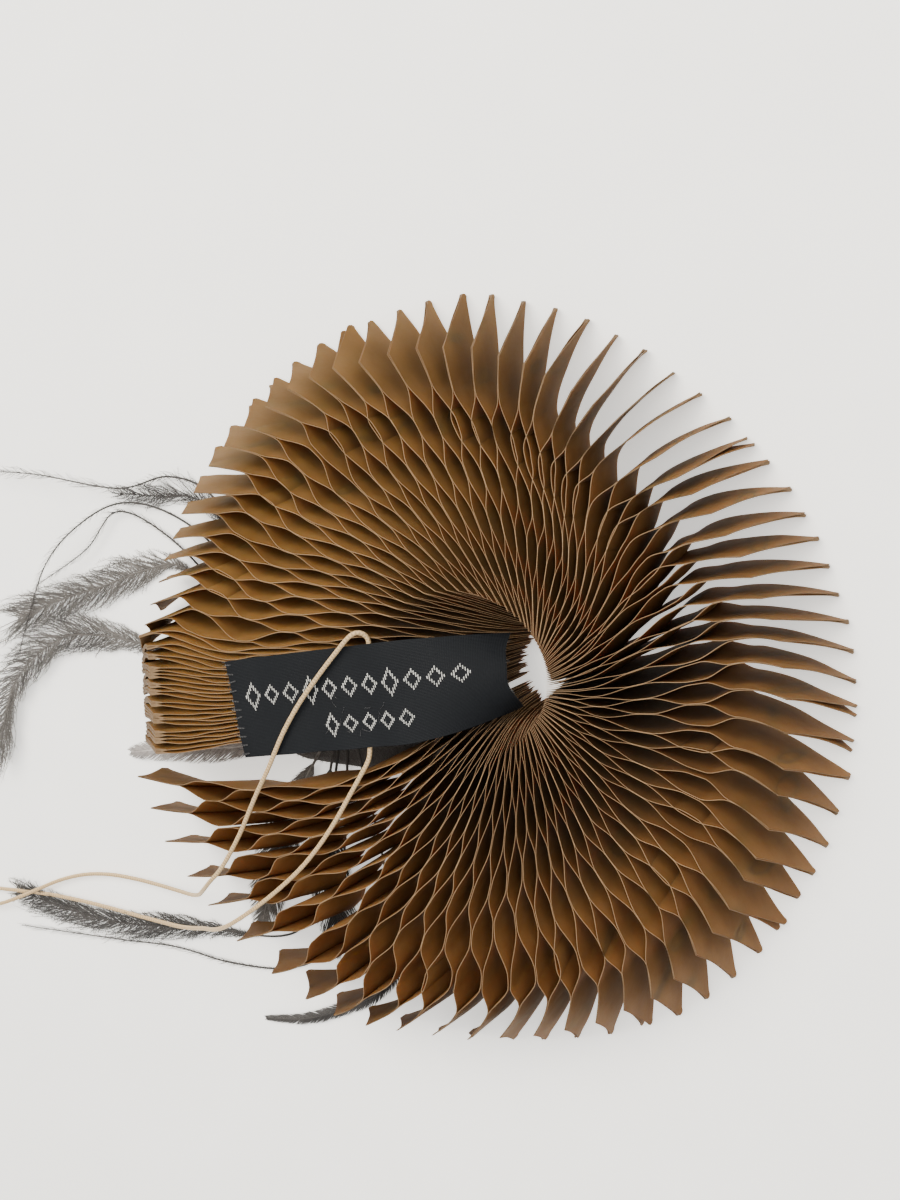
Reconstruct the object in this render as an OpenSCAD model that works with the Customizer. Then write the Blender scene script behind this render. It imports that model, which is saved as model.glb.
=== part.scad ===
// Fascinator headpiece: a fan of glued kraft paper leaves set round an oval hole,
// a woven label over its seam, an elastic loop and two sprays of feathers on the worn side.
// Millimetres, +Z up. The fan lies on its feathered side, label upwards, on the plane z = 0.
// The origin is in the middle of the fan, beside the hole's rim.

/* [Paper fan] */
// Thickness of one paper leaf
paper_t = 0.16; // [0.1:0.02:0.18]
// Width of the paper strip, which is the fan's depth
leaf_depth = 24; // [20:1:26]
// How far the front corner of a leaf's end lies behind its tip
front_corner_drop = 16; // [12:0.5:18]
// How far the back corner of a leaf's end lies behind its tip
back_corner_drop = 0.5; // [0:0.1:2]
// Height of a leaf's tip above its back edge
tip_height = 1.5; // [1:0.5:6]
// Length of the outer stretch over which two leaves are glued into one flap
flap_length = 23; // [20:1:25]
// Distance between neighbouring glue lines along a leaf
glue_pitch = 12.5; // [11:0.5:14]
// Width of a glue line
glue_width = 4; // [2:0.5:5]
// Height of the left half of the fan above the table, where the feathers lie under it
feather_lift = 3.4; // [3.4:0.1:5]

/* [Hole] */
// Half width of the hole on the label side
near_rim_x = 23.5; // [21:0.5:25]
// Half height of the hole on the label side
near_rim_y = 20; // [19:0.5:21]
// Half width of the hole on the feathered side
far_rim_x = 7.1; // [7:0.1:9]
// Half height of the hole on the feathered side
far_rim_y = 10.5; // [10:0.5:12]

/* [Label] */
// Length of the woven label
label_length = 75; // [70:1:82]
// Width of the woven label
label_width = 26; // [22:1:27]
// Thickness of the woven label
label_t = 0.5; // [0.3:0.1:0.5]
// Number of stitches over the label's outer end
stitch_count = 11; // [7:1:13]

/* [Elastic] */
// Diameter of the round elastic
elastic_d = 1.2; // [1:0.1:1.2]
// Length of the knot at each end of the elastic
knot_length = 2.5; // [2:0.5:3]

/* [Feathers] */
// Thickness of a feather's vane
vane_t = 0.4; // [0.2:0.1:0.4]
// Thickness of the felt pad that the feathers are sewn to
pad_t = 0.8; // [0.6:0.1:0.8]

/* [Hidden] */

leaves_per_node = 8;
node_count = 20;
leaf_count = leaves_per_node * node_count;
// Leaves in the tightly packed stack at the seam; the rest fan out clockwise from it
pack_leaves = 26;
pack_tip_x = -109;
pack_bottom_y = -31.9;
pack_pitch = 1.22;
// Flap number in the fan against the direction of its tip, in degrees
fan_angles = [[0, 179], [5, 155], [11, 123], [19, 83], [27, 43],
              [37, 3], [45, -36], [52, -75], [58, -111], [67, -163]];
// Flap number in the fan against the distance of its tip from the middle of the ring of tips
fan_tip_radii = [[0, 100.5], [2, 96], [8, 95], [14, 96.5], [18, 98.3], [25, 95.5], [30, 97.5],
                 [36, 99], [43, 98.3], [48, 100.3], [53, 98], [56, 100], [58, 103.5], [60, 105]];
// Leaf number against how much of the feather lift it gets
lift_share = [[0, 1], [42, 1], [60, 0], [126, 0], [140, 1], [159, 1]];
// Leaf number against how far its middle bows out anticlockwise of a straight line
leaf_bow = [[0, 0], [20, -2], [32, -5], [60, -1], [110, 0], [130, 3], [144, 9], [159, 13]];
// Middle of the ring of tips
tip_middle = [-5, -2];
near_centre = [5, 5];
far_centre = [18.4, 5.5];
// Direction of the first leaf's root on the far rim, and the step to the next one
first_root_angle = 203;
root_step = 2.2;
ply_gap = 0.04;
// Length of leaf next to the hole that has no glue line
root_clear = 12;

label_turn = 11.7;
label_left = [-59.5, -10];
label_z = 29.3;
label_flat = 46;
label_end_drop = 9;
label_steps = 8;

elastic_axis = [-20, 28.3];
elastic_sides = 8;
leaf_top = feather_lift + leaf_depth;

layer_pitch = 0.6;
first_layer_z = 0.9;
upper_root = [-46, -6];
lower_root = [-44, -18];
binding_r = 4.6;

// The elastic's route: out from under the label's upper edge, back over the label, over the
// fan and down to the table, round a narrow end, and back under the label's lower edge
elastic_route = [
    [-20, 3, 28.3], [-20, 6, 28.3], [-20, 9.5, 28.3], [-20.3, 12.6, 28.4], [-21.8, 14.2, 29.8],
    [-24, 13.2, 31], [-28, 8.6, 31.1], [-33, 2.4, 31.1], [-38.8, -5.4, 31.1], [-44, -14, 31.1],
    [-49, -24, 30.6], [-54, -33, 29.8], [-60, -45, 29.2], [-66, -55, 29.1], [-71, -60.5, 28.2],
    [-77, -66, 23.6], [-84, -71, 16], [-91, -74.5, 10], [-99, -76.3, 5.8], [-108, -77, 3.4],
    [-118, -77.2, 2.3], [-128, -77.6, 2.2], [-138, -79.4, 2.2], [-148, -83, 2.2], [-158, -88, 2.8],
    [-166, -92, 4], [-175, -96, 2.8], [-183, -98, 2.2], [-188, -96, 2.2], [-187, -92.5, 2.2],
    [-181, -91, 2.2], [-174, -90.5, 2.2], [-163, -89.5, 2.2], [-152, -88.6, 2.2],
    [-141, -88.4, 2.2], [-130, -88.6, 2.2], [-119, -89, 2.3], [-109, -89, 3], [-100, -88, 5.2],
    [-92, -85.6, 8.8], [-84.6, -82.4, 13.4], [-77, -78.8, 19.6], [-70, -75, 24.8], [-63, -70.4, 28.5],
    [-56, -65, 28.8], [-48.5, -58.5, 28.8], [-41, -51, 28.8], [-35, -43.5, 28.8], [-30, -36, 28.8],
    [-26, -29, 28.7], [-22.4, -22.6, 28.5], [-20.4, -18.6, 28.3], [-20, -15, 28.3],
    [-20, -11, 28.3], [-20, -7, 28.3]
];

// Each feather: its route in plan, its vane's half width, and its layer above the pad
thin_upper_route = [[-49, -2], [-66, 21], [-84, 42], [-99, 47], [-116, 43], [-142, 46], [-166, 46]];
tuft_route = [[-49.6, -2.6], [-72, 24], [-89, 40], [-104, 41], [-119, 41]];
long_curl_route = [[-50, -3], [-76, 20], [-92, 33], [-112, 39], [-128, 33], [-145, 17], [-157, -11]];
short_curl_route = [[-50.4, -4], [-78, 12], [-100, 29], [-118, 36], [-130, 24], [-148, 12]];
upper_plume_route = [[-50.6, -5], [-78, 10], [-97, 21], [-110, 19], [-126, 13], [-138, 9], [-158, 1]];
middle_plume_route = [
    [-50.8, -6.6], [-80, -7], [-106, -4], [-127, -2],
    [-144, -5], [-161, -20], [-169, -42]
];
flat_grey_route = [[-48, -22], [-78, -30], [-103, -34], [-118, -37]];
broad_upper_route = [[-40, 6], [-47, 28], [-57, 47], [-68, 60]];
broad_left_route = [[-50, -26], [-60, -45], [-67, -65], [-72, -84]];
broad_lower_route = [[-46, -26], [-49, -46], [-47, -68], [-44, -86]];
lower_plume_route = [
    [-45, -22.6], [-50, -55], [-56, -77], [-66, -86],
    [-94, -89], [-122, -93], [-145, -93], [-167, -90]
];
lower_strand_route = [
    [-42.6, -22.6], [-44, -55], [-49, -84], [-62, -95],
    [-84, -98], [-104, -97], [-127, -99], [-166, -102]
];
hackle_route = [
    [-40.6, -21.6], [-32, -55], [-27, -84], [-33, -96],
    [-45, -104], [-58, -110], [-72, -113]
];

// A smooth curve through hand-set points, with steps points to each span
function along(p, k, t) =
    let (a = p[max(k - 1, 0)], b = p[k], c = p[k + 1], d = p[min(k + 2, len(p) - 1)])
    0.5 * (
        2 * b + (c - a) * t + (2 * a - 5 * b + 4 * c - d) * t * t + (3 * b - a - 3 * c + d) * t * t * t
    );
function smooth(p, steps) = [
    for (k = [0 : len(p) - 2], j = [0 : steps - 1]) along(p, k, j / steps),
    p[len(p) - 1]
];
function unit(v) = v / norm(v);
function left_of(v) = [-v[1], v[0]];
// Direction of a polyline at point k
function heading(p, k) = unit(p[min(k + 1, len(p) - 1)] - p[max(k - 1, 0)]);
// Outline of a strip along a polyline, with half widths h
function strip(p, h) = concat(
    [for (k = [0 : len(p) - 1]) p[k] + left_of(heading(p, k)) * h[k]],
    [for (k = [len(p) - 1 : -1 : 0]) p[k] - left_of(heading(p, k)) * h[k]]
);

// Where the tip of leaf i lies
function tip_point(i) =
    i < pack_leaves
        ? [pack_tip_x, pack_bottom_y + i * pack_pitch]
        : let (m = (i - pack_leaves) / 2, a = lookup(m, fan_angles))
            tip_middle + lookup(m, fan_tip_radii) * [cos(a), sin(a)];
// Where the root of leaf i lies, on the far rim
function root_point(i) =
    let (a = first_root_angle - i * root_step) far_centre + [far_rim_x * cos(a), far_rim_y * sin(a)];
function leaf_length(i) = norm(tip_point(i) - root_point(i));
function leaf_aim(i) = unit(tip_point(i) - root_point(i));
// The point of leaf i's centre line at distance back from its tip
function on_leaf(i, back) =
    tip_point(i) - leaf_aim(i) * back
    + left_of(leaf_aim(i)) * lookup(i, leaf_bow) * sin(180 * back / leaf_length(i));
// The leaf that leaf i is glued to along glue line k; line 0 is the flap
function partner(i, k) = (i + k) % 2 == 0 ? i + 1 : i - 1;
function glued_point(i, k, back) =
    let (j = partner(i, k), a = on_leaf(i, back))
    j < 0 || j >= leaf_count
        ? a
        : let (b = on_leaf(j, back), side = left_of(unit(leaf_aim(i) + leaf_aim(j))))
            (a + b) / 2 + side * (j - i) * (paper_t + ply_gap) / 2;
function line_back(k) = flap_length + (k - 0.28) * glue_pitch;
function line_count(i) = floor((leaf_length(i) - flap_length - root_clear) / glue_pitch);
// Zigzag centre line of leaf i from its root to just past its tip
function leaf_path(i) = concat(
    [root_point(i)],
    [
        for (k = [line_count(i) : -1 : 1], side = [1, -1])
            glued_point(i, k, line_back(k) + side * glue_width / 2)
    ],
    [glued_point(i, 0, flap_length), glued_point(i, 0, 0)]
);
// Distance from the root at which leaf i crosses the near rim
function near_start(i) =
    let (
        p = root_point(i) - near_centre,
        d = leaf_aim(i),
        a = pow(d[0] / near_rim_x, 2) + pow(d[1] / near_rim_y, 2),
        b = 2 * (p[0] * d[0] / pow(near_rim_x, 2) + p[1] * d[1] / pow(near_rim_y, 2)),
        c = pow(p[0] / near_rim_x, 2) + pow(p[1] / near_rim_y, 2) - 1
    )
    (-b + sqrt(b * b - 4 * a * c)) / (2 * a);

// One paper leaf: the zigzag strip, trimmed to the side outline of the cut paper
module leaf(i) {
    len_i = leaf_length(i);
    path = leaf_path(i);
    aim = leaf_aim(i);
    reach = 25;
    translate([0, 0, feather_lift * lookup(i, lift_share)])
        intersection() {
            linear_extrude(leaf_depth)
                polygon(strip(path, [for (p = path) paper_t / 2]));
            translate(root_point(i))
                rotate([90, 0, atan2(aim[1], aim[0])])
                    linear_extrude(2 * reach, center = true)
                        polygon([
                            [-1, -1],
                            [-1, 0],
                            [near_start(i), leaf_depth + 0.01],
                            [len_i - front_corner_drop, leaf_depth + 0.01],
                            [len_i, tip_height],
                            [len_i - back_corner_drop, -0.01]
                        ]);
        }
}

module fan_leaves(n) {
    color([0.53, 0.39, 0.24])
        for (i = [(n - 1) * leaves_per_node : n * leaves_per_node - 1]) leaf(i);
}

// Height of the label's underside at distance u from its outer end
function label_height(u) =
    label_z - label_end_drop * pow(max(u - label_flat, 0) / (label_length - label_flat), 2);

module woven_label() {
    tail = [for (j = [0 : label_steps]) label_flat + (label_length - label_flat) * j / label_steps];
    line = concat([0], tail);
    color([0.1, 0.11, 0.13])
        translate([label_left[0], label_left[1], 0])
            rotate([90, 0, label_turn])
                linear_extrude(label_width, center = true)
                    polygon(concat(
                        [for (u = line) [u, label_height(u)]],
                        [for (j = [len(line) - 1 : -1 : 0]) [line[j], label_height(line[j]) + label_t]]
                    ));
}

// Thread bars that hold the label's outer end down to the paper
module label_stitches() {
    thread = 0.35;
    bar = 2.4;
    pitch = (label_width - 2) / (stitch_count - 1);
    color([0.06, 0.06, 0.07])
        translate([label_left[0], label_left[1], 0])
            rotate([0, 0, label_turn])
                for (j = [0 : stitch_count - 1])
                    translate([0, 1 - label_width / 2 + j * pitch, 0]) {
                        translate([-thread - 0.05, 0, label_z + label_t + 0.02])
                            cube([bar, thread, thread]);
                        translate([-thread - 0.05, 0, leaf_top + 0.05])
                            cube([thread, thread, label_z + label_t - leaf_top]);
                    }
}

// A round cord swept along a route as one closed polyhedron
function ring_frame(p, k) =
    let (t = unit(p[min(k + 1, len(p) - 1)] - p[max(k - 1, 0)]), s = unit(cross(t, [0, 0.1, 1])))
    [s, cross(t, s)];
module cord_tube(route, d, sides) {
    points = [
        for (k = [0 : len(route) - 1], j = [0 : sides - 1])
            let (f = ring_frame(route, k), a = 360 * j / sides)
                route[k] + d / 2 * (cos(a) * f[0] + sin(a) * f[1])
    ];
    last = (len(route) - 1) * sides;
    faces = concat(
        [[for (j = [0 : sides - 1]) j]],
        [
            for (k = [0 : len(route) - 2], j = [0 : sides - 1])
                let (n = (j + 1) % sides)
                    [k * sides + j, (k + 1) * sides + j, (k + 1) * sides + n, k * sides + n]
        ],
        [[for (j = [sides - 1 : -1 : 0]) last + j]]
    );
    polyhedron(points, faces, convexity = 10);
}

module elastic_loop() {
    color([0.8, 0.68, 0.5]) cord_tube(elastic_route, elastic_d, elastic_sides);
}

module elastic_knots() {
    knot_r = 0.88;
    color([0.76, 0.63, 0.45])
        for (y = [elastic_route[0][1] - knot_length, elastic_route[len(elastic_route) - 1][1]])
            translate([elastic_axis[0], y, elastic_axis[1]])
                rotate([-90, 0, 0])
                    cylinder(h = knot_length, r = knot_r, $fn = 32);
}

module felt_pad() {
    pad_x = 27;
    pad_y = 19;
    corner = 12;
    color([0.16, 0.14, 0.14])
        translate([-40, -12, 0])
            linear_extrude(pad_t)
                polygon([
                    for (q = [0 : 3], a = [0 : 15 : 90])
                        let (
                            cx = (q == 0 || q == 3 ? 1 : -1) * (pad_x - corner),
                            cy = (q < 2 ? 1 : -1) * (pad_y - corner)
                        )
                        [cx + corner * cos(90 * q + a), cy + corner * sin(90 * q + a)]
                ]);
}

module quill_binding(root) {
    color([0.1, 0.09, 0.09])
        translate([root[0], root[1], pad_t + 0.1])
            cylinder(h = feather_lift - pad_t - 0.4, r = binding_r, $fn = 48);
}
module upper_quill_binding() {
    quill_binding(upper_root);
}
module lower_quill_binding() {
    quill_binding(lower_root);
}

// A flat feather: a thin quill that widens into a pointed vane from vane_start to its tip
quill_half = 0.5;
function vane_half(t, vane_start, half) =
    t < vane_start
        ? quill_half
        : quill_half + half * pow(sin(180 * pow((t - vane_start) / (1 - vane_start), 0.8)), 0.8);
module feather(route, half, layer, vane_start, tone) {
    steps = 4;
    path = smooth(route, steps);
    last = len(path) - 1;
    widths = [for (k = [0 : last]) k == last ? 0.15 : vane_half(k / last, vane_start, half)];
    color(tone)
        translate([0, 0, first_layer_z + (layer - 1) * layer_pitch])
            linear_extrude(vane_t)
                polygon(strip(path, widths));
}

charcoal = [0.2, 0.19, 0.19];
mid_grey = [0.42, 0.39, 0.38];
pale_grey = [0.6, 0.57, 0.55];

module thin_upper_feather() {
    feather(thin_upper_route, 0.5, 4, 0.4, charcoal);
}
module tuft_feather() {
    feather(tuft_route, 3, 1, 0.5, charcoal);
}
module long_curl_feather() {
    feather(long_curl_route, 0.4, 3, 0.4, charcoal);
}
module short_curl_feather() {
    feather(short_curl_route, 0.4, 2, 0.4, charcoal);
}
module upper_plume() {
    feather(upper_plume_route, 5, 1, 0.4, mid_grey);
}
module middle_plume() {
    feather(middle_plume_route, 5.5, 1, 0.35, mid_grey);
}
module flat_grey_feather() {
    feather(flat_grey_route, 4.5, 2, 0.25, pale_grey);
}
module broad_upper_feather() {
    feather(broad_upper_route, 6.5, 2, 0.2, mid_grey);
}
module broad_left_feather() {
    feather(broad_left_route, 7.5, 3, 0.1, mid_grey);
}
module broad_lower_feather() {
    feather(broad_lower_route, 8, 4, 0.1, charcoal);
}
module lower_plume() {
    feather(lower_plume_route, 3.6, 1, 0.45, mid_grey);
}
module lower_strand_feather() {
    feather(lower_strand_route, 0.4, 1, 0.4, charcoal);
}
module hackle_feather() {
    feather(hackle_route, 2, 1, 0.5, charcoal);
}

fan_leaves(1);  // fan_leaves_01
fan_leaves(2);  // fan_leaves_02
fan_leaves(3);  // fan_leaves_03
fan_leaves(4);  // fan_leaves_04
fan_leaves(5);  // fan_leaves_05
fan_leaves(6);  // fan_leaves_06
fan_leaves(7);  // fan_leaves_07
fan_leaves(8);  // fan_leaves_08
fan_leaves(9);  // fan_leaves_09
fan_leaves(10);  // fan_leaves_10
fan_leaves(11);  // fan_leaves_11
fan_leaves(12);  // fan_leaves_12
fan_leaves(13);  // fan_leaves_13
fan_leaves(14);  // fan_leaves_14
fan_leaves(15);  // fan_leaves_15
fan_leaves(16);  // fan_leaves_16
fan_leaves(17);  // fan_leaves_17
fan_leaves(18);  // fan_leaves_18
fan_leaves(19);  // fan_leaves_19
fan_leaves(20);  // fan_leaves_20
woven_label();
label_stitches();
elastic_loop();
elastic_knots();
felt_pad();
upper_quill_binding();
lower_quill_binding();
thin_upper_feather();
tuft_feather();
long_curl_feather();
short_curl_feather();
upper_plume();
middle_plume();
flat_grey_feather();
broad_upper_feather();
broad_left_feather();
broad_lower_feather();
lower_plume();
lower_strand_feather();
hackle_feather();
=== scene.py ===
"""Fascinator headpiece: detailed visual model, built round the fixed CAD frame.

Shapes are worked out in millimetres, as in the part, and turned into metres when a mesh is made.
"""

import math
import random

import bpy
import numpy as np
from mathutils import Matrix, Vector


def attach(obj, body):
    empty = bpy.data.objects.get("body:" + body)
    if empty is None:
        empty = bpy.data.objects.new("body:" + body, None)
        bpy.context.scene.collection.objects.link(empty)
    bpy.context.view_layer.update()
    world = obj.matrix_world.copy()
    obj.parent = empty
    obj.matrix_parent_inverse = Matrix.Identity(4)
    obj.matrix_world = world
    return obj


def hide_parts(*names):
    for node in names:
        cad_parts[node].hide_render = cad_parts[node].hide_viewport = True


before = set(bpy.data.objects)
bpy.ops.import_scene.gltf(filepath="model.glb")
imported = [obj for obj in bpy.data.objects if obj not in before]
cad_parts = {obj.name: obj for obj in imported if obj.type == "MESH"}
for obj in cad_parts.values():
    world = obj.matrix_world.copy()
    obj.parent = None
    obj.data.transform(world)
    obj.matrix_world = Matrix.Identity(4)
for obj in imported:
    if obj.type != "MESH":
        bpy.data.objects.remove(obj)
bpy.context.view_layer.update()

MM = 0.001


def add_object(name, data):
    thing = bpy.data.objects.new(name, data)
    bpy.context.scene.collection.objects.link(thing)
    return thing


# ---------------------------------------------------------------- camera
TILT = Matrix.Rotation(math.radians(10.7), 3, "X") @ Matrix.Rotation(math.radians(-26.3), 3, "Y")
FAN_MIDDLE_Z = 13
camera_data = bpy.data.cameras.new("front_camera")
camera_data.sensor_fit = "HORIZONTAL"
camera_data.sensor_width = 36
camera_data.lens = 56
camera_data.clip_start = 0.01
camera = add_object("front_camera", camera_data)
camera_place = Vector((0, 0, FAN_MIDDLE_Z)) - TILT.transposed() @ Vector((4.6, -21.0, -353.6))
camera.matrix_world = Matrix.Translation(camera_place * MM) @ TILT.transposed().to_4x4()
bpy.context.scene.camera = camera


# ---------------------------------------------------------------- small helpers
def table(x, rows):
    """Linear lookup in a list of [x, y] rows, held at its ends."""
    return np.interp(x, [r[0] for r in rows], [r[1] for r in rows])


def smoothstep(t):
    t = np.clip(t, 0, 1)
    return t * t * (3 - 2 * t)


def unit(v):
    return v / np.linalg.norm(v)


def left_of(v):
    return np.array([-v[1], v[0]])


def smooth_line(points, steps):
    """A smooth curve through the points, with that many points to each span."""
    p = np.array(points, float)
    out = []
    for k in range(len(p) - 1):
        a, b, c, d = p[max(k - 1, 0)], p[k], p[k + 1], p[min(k + 2, len(p) - 1)]
        for j in range(steps):
            t = j / steps
            cubic = 3 * b + d - a - 3 * c
            out.append(0.5 * (2 * b + (c - a) * t + (2 * a - 5 * b + 4 * c - d) * t * t + cubic * t**3))
    out.append(p[-1])
    return np.array(out)


def distance_along(p):
    return np.concatenate([[0], np.cumsum(np.linalg.norm(np.diff(p, axis=0), axis=1))])


def even_line(points, pitch):
    """The same line with evenly spaced points, about pitch apart."""
    p = np.array(points, float)
    run = distance_along(p)
    count = max(int(round(run[-1] / pitch)), 2)
    at = np.linspace(0, run[-1], count + 1)
    return np.stack([np.interp(at, run, p[:, c]) for c in range(p.shape[1])], 1), run[-1]


class Shape:
    """Vertices, faces, material numbers and tones of one mesh piece, in millimetres."""

    def __init__(self):
        self.verts, self.faces, self.mats, self.tones, self.uvs = [], [], [], [], []
        self.count = 0

    def add(self, verts, faces, mat=0, tone=1.0, uv=None):
        verts = np.asarray(verts, float).reshape(-1, 3)
        self.verts.append(verts)
        self.faces.extend([tuple(int(n) + self.count for n in f) for f in faces])
        self.mats.extend([mat] * len(faces))
        self.tones.append(np.full(len(verts), float(tone)) if np.isscalar(tone) else np.asarray(tone))
        self.uvs.append(np.zeros((len(verts), 2)) if uv is None else np.asarray(uv, float))
        self.count += len(verts)

    def tube(self, line, radius, sides=6, flat=1.0, mat=0, tone=1.0, turn=0.0, up=(0.0, 0.1, 1.0)):
        """A closed tube along a line; flat is its height over its width, turn spins its section."""
        p = np.asarray(line, float)
        n = len(p)
        r = np.full(n, float(radius)) if np.isscalar(radius) else np.asarray(radius, float)
        t = np.gradient(p, axis=0)
        t /= np.maximum(np.linalg.norm(t, axis=1), 1e-9)[:, None]
        s = np.cross(t, np.array(up))
        s /= np.maximum(np.linalg.norm(s, axis=1), 1e-9)[:, None]
        w = np.cross(s, t)
        a = 2 * math.pi * np.arange(sides) / sides + turn
        ring = r[:, None, None] * (
            np.cos(a)[None, :, None] * s[:, None, :] + flat * np.sin(a)[None, :, None] * w[:, None, :]
        )
        verts = (p[:, None, :] + ring).reshape(-1, 3)
        faces = [tuple(range(sides))]
        for k in range(n - 1):
            for j in range(sides):
                m = (j + 1) % sides
                a, b = k * sides, (k + 1) * sides
                faces.append((a + j, b + j, b + m, a + m))
        faces.append(tuple((n - 1) * sides + j for j in range(sides - 1, -1, -1)))
        uv = np.stack([np.repeat(distance_along(p), sides), np.tile(np.arange(sides) / sides, n)], 1)
        self.add(verts, faces, mat, tone, uv)

    def build(self, name, materials, body, slot, replaces=(), sharp=50.0):
        mesh = bpy.data.meshes.new(name)
        mesh.from_pydata((np.concatenate(self.verts) * MM).tolist(), [], self.faces)
        for m in materials:
            mesh.materials.append(m)
        mesh.polygons.foreach_set("material_index", self.mats)
        mesh.polygons.foreach_set("use_smooth", [True] * len(self.faces))
        tone = mesh.attributes.new("tone", "FLOAT", "POINT")
        tone.data.foreach_set("value", np.concatenate(self.tones).astype(np.float32))
        layer = mesh.uv_layers.new(name="along")
        corner = np.zeros(len(mesh.loops), np.int32)
        mesh.loops.foreach_get("vertex_index", corner)
        layer.data.foreach_set("uv", np.concatenate(self.uvs)[corner].astype(np.float32).ravel())
        mesh.set_sharp_from_angle(angle=math.radians(sharp))
        mesh.update()
        piece = add_object(name, mesh)
        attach(piece, body)
        if replaces:
            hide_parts(*replaces)
        return piece


# ---------------------------------------------------------------- materials
class Look:
    """A node material round one Principled shader."""

    def __init__(self, name, **constants):
        self.mat = bpy.data.materials.new(name)
        self.mat.use_nodes = True
        self.tree = self.mat.node_tree
        self.shader = self.tree.nodes["Principled BSDF"]
        for socket, value in constants.items():
            self.shader.inputs[socket.replace("_", " ")].default_value = value

    def node(self, kind, inputs=None, **settings):
        n = self.tree.nodes.new(kind)
        for k, v in settings.items():
            setattr(n, k, v)
        for k, v in (inputs or {}).items():
            if isinstance(v, bpy.types.NodeSocket):
                self.tree.links.new(v, n.inputs[k])
            else:
                n.inputs[k].default_value = v
        return n

    def place(self, scale=(1, 1, 1)):
        """Object coordinates, scaled."""
        return self.turned(self.node("ShaderNodeTexCoord").outputs["Object"], Scale=scale)

    def noise(self, scale, detail=3.0, rough=0.55, stretch=(1, 1, 1)):
        inputs = {"Vector": self.place(stretch), "Scale": scale, "Detail": detail, "Roughness": rough}
        return self.node("ShaderNodeTexNoise", inputs).outputs["Fac"]

    def wave(self, vector, scale, distortion, direction="X", detail=2.0, detail_scale=1.0):
        inputs = {
            "Vector": vector, "Scale": scale, "Distortion": distortion,
            "Detail": detail, "Detail Scale": detail_scale,
        }
        return self.node("ShaderNodeTexWave", inputs, bands_direction=direction).outputs["Fac"]

    def turned(self, vector, **settings):
        """The vector through a mapping node."""
        inputs = {"Vector": vector, **settings}
        return self.node("ShaderNodeMapping", inputs).outputs["Vector"]

    def ramp(self, fac, *stops):
        r = self.node("ShaderNodeValToRGB", {"Fac": fac})
        while len(r.color_ramp.elements) < len(stops):
            r.color_ramp.elements.new(0.5)
        for e, (at, colour) in zip(r.color_ramp.elements, stops):
            e.position = at
            e.color = (*colour, 1)
        return r.outputs["Color"]

    def math(self, kind, a, b=0.0):
        return self.node("ShaderNodeMath", {0: a, 1: b}, operation=kind).outputs[0]

    def blend(self, a, b, share):
        """a times the share, and b times the rest."""
        return self.math("ADD", self.math("MULTIPLY", a, share), self.math("MULTIPLY", b, 1 - share))

    def mix(self, fac, a, b, kind="MIX"):
        n = self.node("ShaderNodeMix", data_type="RGBA", blend_type=kind)
        for k, v in ((0, fac), (6, a), (7, b)):
            if isinstance(v, bpy.types.NodeSocket):
                self.tree.links.new(v, n.inputs[k])
            else:
                n.inputs[k].default_value = v if k == 0 else (*v, 1)
        return n.outputs[2]

    def attribute(self, name):
        return self.node("ShaderNodeAttribute", attribute_name=name).outputs["Fac"]

    def along(self):
        return self.node("ShaderNodeUVMap", uv_map="along").outputs["UV"]

    def shaded(self, colour):
        """The colour times the piece's tone, which on the paper leaves also holds painted shade and
        painted light.
        """
        t = self.attribute("tone")
        grey = self.node("ShaderNodeCombineColor", {"Red": t, "Green": t, "Blue": t}).outputs[0]
        return self.mix(1.0, colour, grey, "MULTIPLY")

    def finish(self, colour, rough=None, height=None, strength=0.3, distance=0.0001):
        link = self.tree.links.new
        link(colour, self.shader.inputs["Base Color"])
        if rough is not None:
            link(rough, self.shader.inputs["Roughness"])
        if height is not None:
            inputs = {"Height": height, "Strength": strength, "Distance": distance}
            bump = self.node("ShaderNodeBump", inputs)
            link(bump.outputs["Normal"], self.shader.inputs["Normal"])
        return self.mat


def span(look, fac, low, high):
    """A 0-1 value stretched to run from low to high."""
    n = look.node("ShaderNodeMapRange", {"Value": fac, "To Min": low, "To Max": high})
    return n.outputs["Result"]


def kraft_paper():
    k = Look("kraft_paper", Specular_IOR_Level=0.1, Subsurface_Weight=0.45,
             Subsurface_Scale=0.0008, Subsurface_Radius=(1.0, 0.45, 0.15))
    mottle = k.noise(90, 4)
    fibre = k.noise(1500, 4, 0.7, (1, 1, 0.35))
    speck = k.noise(4200, 2, 0.5)
    base = k.ramp(mottle, (0.3, (0.145, 0.064, 0.019)), (0.7, (0.215, 0.104, 0.034)))
    base = k.mix(k.math("MULTIPLY", fibre, 0.3), base, (0.25, 0.135, 0.045))
    # Painted light: the paper is mixed towards gold towards the upper left, standing for the light that
    # falls on the flaps there
    where = k.node("ShaderNodeSeparateXYZ", {"Vector": k.place()}).outputs
    upper_left = k.math("MULTIPLY", k.math("SUBTRACT", where["Y"], where["X"]), 5.0)
    painted_golden_light = k.ramp(upper_left, (0.0, (0, 0, 0)), (0.9, (0.5, 0.5, 0.5)))
    base = k.mix(painted_golden_light, base, (0.24, 0.140, 0.030))
    dark = k.ramp(speck, (0.24, (0.55, 0.5, 0.45)), (0.34, (1, 1, 1)))
    base = k.mix(0.7, base, dark, "MULTIPLY")
    rough = span(k, fibre, 0.58, 0.82)
    relief = k.math("ADD", fibre, k.math("MULTIPLY", mottle, 0.6))
    return k.finish(k.shaded(base), rough, relief, 0.25, 0.00012)


def cut_edge():
    k = Look("kraft_paper_cut_edge", Specular_IOR_Level=0.25)
    fibre = k.noise(2600, 3, 0.7)
    base = k.ramp(fibre, (0.3, (0.150, 0.092, 0.048)), (0.7, (0.25, 0.165, 0.094)))
    return k.finish(k.shaded(base), span(k, fibre, 0.75, 0.92), fibre, 0.4, 0.00006)


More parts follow.
